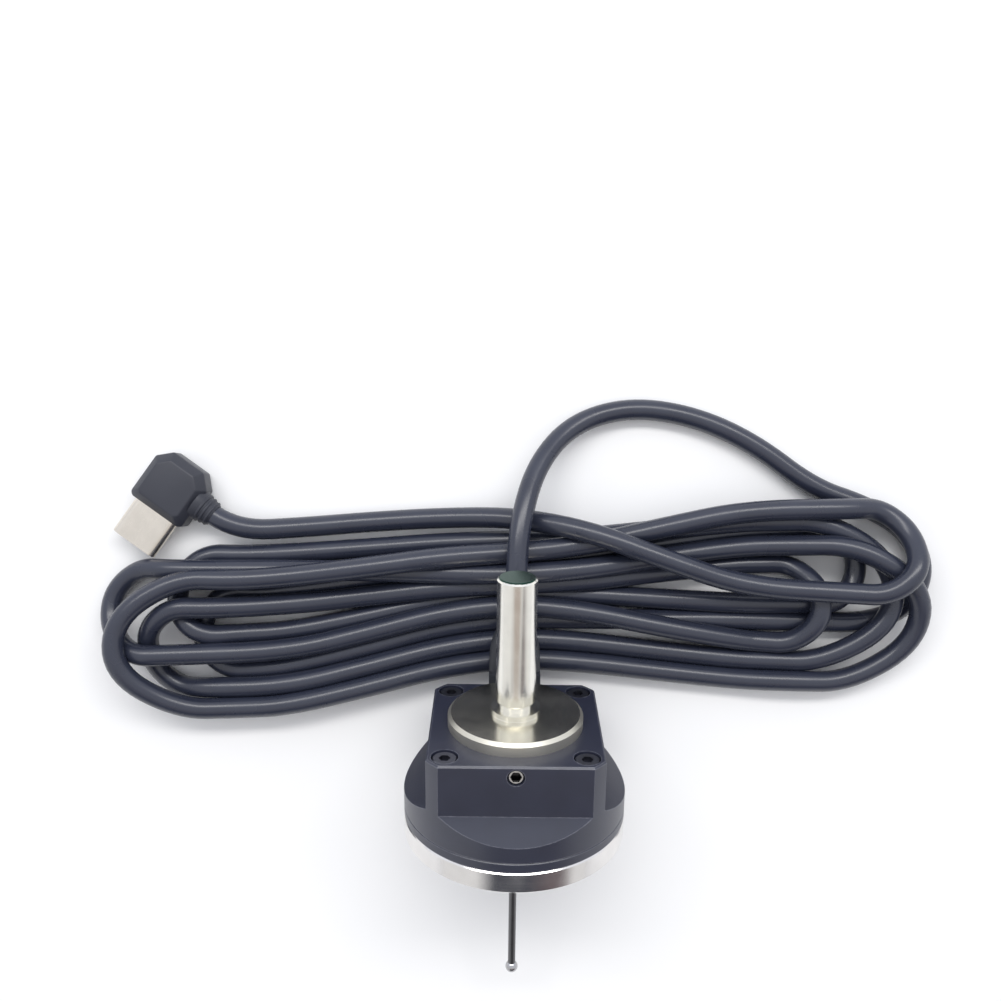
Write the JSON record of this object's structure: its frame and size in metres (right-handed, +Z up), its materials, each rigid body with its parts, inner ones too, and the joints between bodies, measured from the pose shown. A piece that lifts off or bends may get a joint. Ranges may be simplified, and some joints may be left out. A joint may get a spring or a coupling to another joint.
{
  "type": "edge finder",
  "caption": "Wired touch probe for finding edges: black body with a steel shank, steel base plate, thin ball stylus on sprung contact seats, and a cord tied in a hank with an angled plug.",
  "frame": {"origin": "on the table, under the middle of the probe's box without its cord", "axes": "+Z up from the table, +Y along the lying probe towards its shank, +X to the right"},
  "size_m": [0.14, 0.0948, 0.0346],
  "materials": {
    "anodised": "satin black anodised",
    "steel": "turned and polished",
    "stylus_steel": "ground and polished",
    "screw_steel": "plain",
    "black_screw": "black oxide",
    "board": "laminate",
    "rubber": "moulded",
    "cord": "satin jacket",
    "plug_plastic": "moulded",
    "plug_metal": "nickel plated"
  },
  "bodies": {
    "housing": {"housing": "anodised", "base_ring": "anodised", "shank": "steel", "base_plate": "steel", "flange_washer": "steel", "contact_balls": "steel", "centring_screws": "screw_steel", "flange_screw": "screw_steel", "cover_screws": "black_screw", "contact_board": "board", "cord_boot": "rubber", "cord_lead": "cord", "cord_hank": "cord", "cord_tail": "cord", "signal_leads": "cord", "plug_body": "plug_plastic", "plug_insert": "plug_plastic", "plug_shell": "plug_metal"},
    "spring": {"return_spring": "screw_steel"},
    "seal": {"seal_membrane": "rubber"},
    "stylus": {"tripod_hub": "steel", "contact_pins": "steel", "lock_collar": "stylus_steel", "stylus_base": "stylus_steel", "stylus_stem": "stylus_steel", "stylus_ball": "stylus_steel"}
  },
  "joints": [
    {"name": "front_arm_lift", "type": "hinge", "parent": "housing", "child": "spring", "pos_m": [0, 0.00067, 0.01404], "axis": [-1, 0, 0], "range_deg": [0, 12], "stiffness_Nm_per_rad": 0.009, "springref_deg": -53.86, "deforming": ["return_spring", "seal_membrane"]},
    {"name": "right_arm_lift", "type": "hinge", "parent": "spring", "child": "seal", "pos_m": [-0.00368, -0.00117, 0.02014], "axis": [0.5, -0.2503, 0.8291], "range_deg": [0, 12], "stiffness_Nm_per_rad": 0.009, "springref_deg": -53.86},
    {"name": "left_arm_lift", "type": "hinge", "parent": "seal", "child": "stylus", "pos_m": [0.00368, -0.00117, 0.02014], "axis": [0.5, 0.2503, -0.8291], "range_deg": [0, 12], "stiffness_Nm_per_rad": 0.009, "springref_deg": -53.86}
  ]
}
